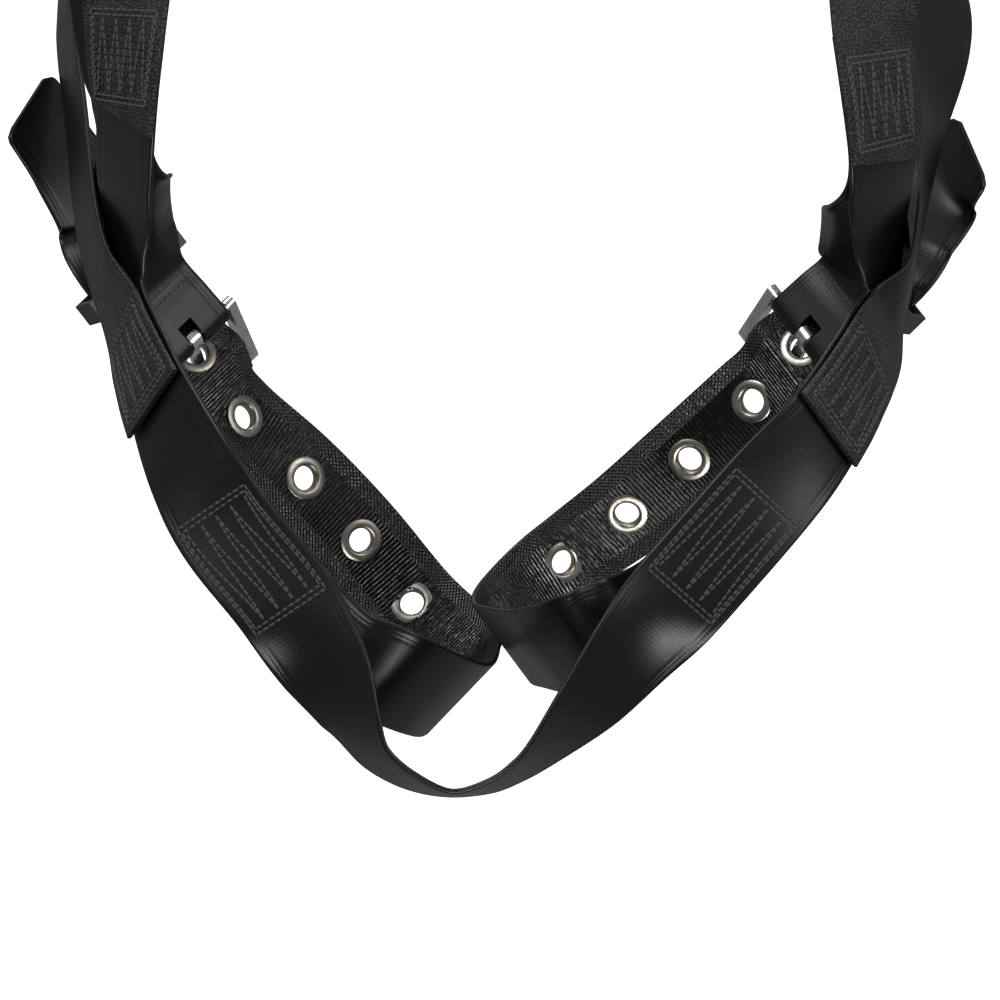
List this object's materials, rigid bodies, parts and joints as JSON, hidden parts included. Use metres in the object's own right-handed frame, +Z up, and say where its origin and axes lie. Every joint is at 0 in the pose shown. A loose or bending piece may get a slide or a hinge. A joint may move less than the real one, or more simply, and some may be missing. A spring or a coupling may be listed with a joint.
{
  "type": "full-body safety harness",
  "caption": "Full-body webbing harness with crossed back straps, a dorsal ring, a seat strap, chest strap and leg loops closed by tongue buckles through grommets.",
  "frame": {"origin": "on the wearer's midline at the height of the seat strap, inside the harness", "axes": "+X to the right as seen from behind the wearer, +Y the way the wearer faces, +Z up"},
  "size_m": [0.4463, 0.2882, 0.7157],
  "materials": {
    "black_webbing": "satin black coated webbing",
    "rough_webbing": "rougher black polyester webbing with a speckled weave",
    "zinc_steel": "bright zinc plate",
    "dull_nickel": "dull nickel plate",
    "black_plastic": "black moulded plastic"
  },
  "bodies": {
    "webbing": {"chest_buckle_socket": "zinc_steel", "chest_strap_left": "black_webbing", "chest_strap_right": "black_webbing", "dorsal_backing": "black_plastic", "dorsal_plate": "zinc_steel", "dorsal_rivets": "zinc_steel", "front_strap_left": "rough_webbing", "front_strap_right": "rough_webbing", "hip_strap_left": "black_webbing", "hip_strap_right": "black_webbing", "leg_grommets_left": "dull_nickel", "leg_grommets_right": "dull_nickel", "leg_strap_left": "black_webbing", "leg_strap_right": "black_webbing", "main_strap_left": "rough_webbing", "main_strap_right": "rough_webbing", "seat_strap": "black_webbing", "torso_adjuster_left": "zinc_steel", "torso_adjuster_right": "zinc_steel"},
    "leg_buckle_frame_left": {"leg_buckle_frame_left": "zinc_steel"},
    "leg_buckle_tongue_left": {"leg_buckle_tongue_left": "zinc_steel"},
    "leg_keeper_left": {"leg_keeper_left": "black_plastic"},
    "torso_slide_bar_left": {"torso_slide_bar_left": "zinc_steel"},
    "torso_keeper_left": {"torso_keeper_left": "black_plastic"},
    "leg_buckle_frame_right": {"leg_buckle_frame_right": "zinc_steel"},
    "leg_buckle_tongue_right": {"leg_buckle_tongue_right": "zinc_steel"},
    "leg_keeper_right": {"leg_keeper_right": "black_plastic"},
    "torso_slide_bar_right": {"torso_slide_bar_right": "zinc_steel"},
    "torso_keeper_right": {"torso_keeper_right": "black_plastic"},
    "dorsal_d_ring": {"dorsal_d_ring": "zinc_steel"},
    "chest_buckle_hook": {"chest_buckle_hook": "zinc_steel"}
  },
  "joints": [
    {"name": "leg_buckle_swing_left", "type": "hinge", "parent": "webbing", "child": "leg_buckle_frame_left", "pos_m": [-0.141, 0.0286, 0.201], "axis": [0.6088, 0.4747, 0.6357], "range_deg": [0, 5]},
    {"name": "leg_tongue_swing_left", "type": "hinge", "parent": "leg_buckle_frame_left", "child": "leg_buckle_tongue_left", "pos_m": [-0.141, 0.0286, 0.201], "axis": [0.6088, 0.4747, 0.6357], "range_deg": [0, 5]},
    {"name": "leg_keeper_slide_left", "type": "slide", "parent": "webbing", "child": "leg_keeper_left", "axis": [0.5833, 0.2753, -0.7642], "range_m": [-0.001, 0.002]},
    {"name": "torso_bar_slide_left", "type": "slide", "parent": "webbing", "child": "torso_slide_bar_left", "axis": [0.4718, 0.1205, 0.8734], "range_m": [0, 0.003]},
    {"name": "torso_keeper_slide_left", "type": "slide", "parent": "webbing", "child": "torso_keeper_left", "axis": [0.4718, 0.1205, 0.8734], "range_m": [-0.004, 0.004]},
    {"name": "leg_buckle_swing_right", "type": "hinge", "parent": "webbing", "child": "leg_buckle_frame_right", "pos_m": [0.14, 0.026, 0.203], "axis": [0.5514, -0.3527, -0.756], "range_deg": [0, 5]},
    {"name": "leg_tongue_swing_right", "type": "hinge", "parent": "leg_buckle_frame_right", "child": "leg_buckle_tongue_right", "pos_m": [0.14, 0.026, 0.203], "axis": [0.5514, -0.3527, -0.756], "range_deg": [0, 5]},
    {"name": "leg_keeper_slide_right", "type": "slide", "parent": "webbing", "child": "leg_keeper_right", "axis": [-0.6557, 0.3771, -0.6541], "range_m": [-0.001, 0.002]},
    {"name": "torso_bar_slide_right", "type": "slide", "parent": "webbing", "child": "torso_slide_bar_right", "axis": [-0.4718, 0.1205, 0.8734], "range_m": [0, 0.003]},
    {"name": "torso_keeper_slide_right", "type": "slide", "parent": "webbing", "child": "torso_keeper_right", "axis": [-0.4718, 0.1205, 0.8734], "range_m": [-0.004, 0.004]},
    {"name": "dorsal_ring_swing", "type": "hinge", "parent": "webbing", "child": "dorsal_d_ring", "pos_m": [0, -0.152, 0.596], "axis": [-1, 0, 0], "range_deg": [0, 150]},
    {"name": "chest_hook_swing", "type": "hinge", "parent": "webbing", "child": "chest_buckle_hook", "pos_m": [-0.034, 0.124, 0.606], "axis": [0, 0, 1], "range_deg": [0, 25]}
  ]
}
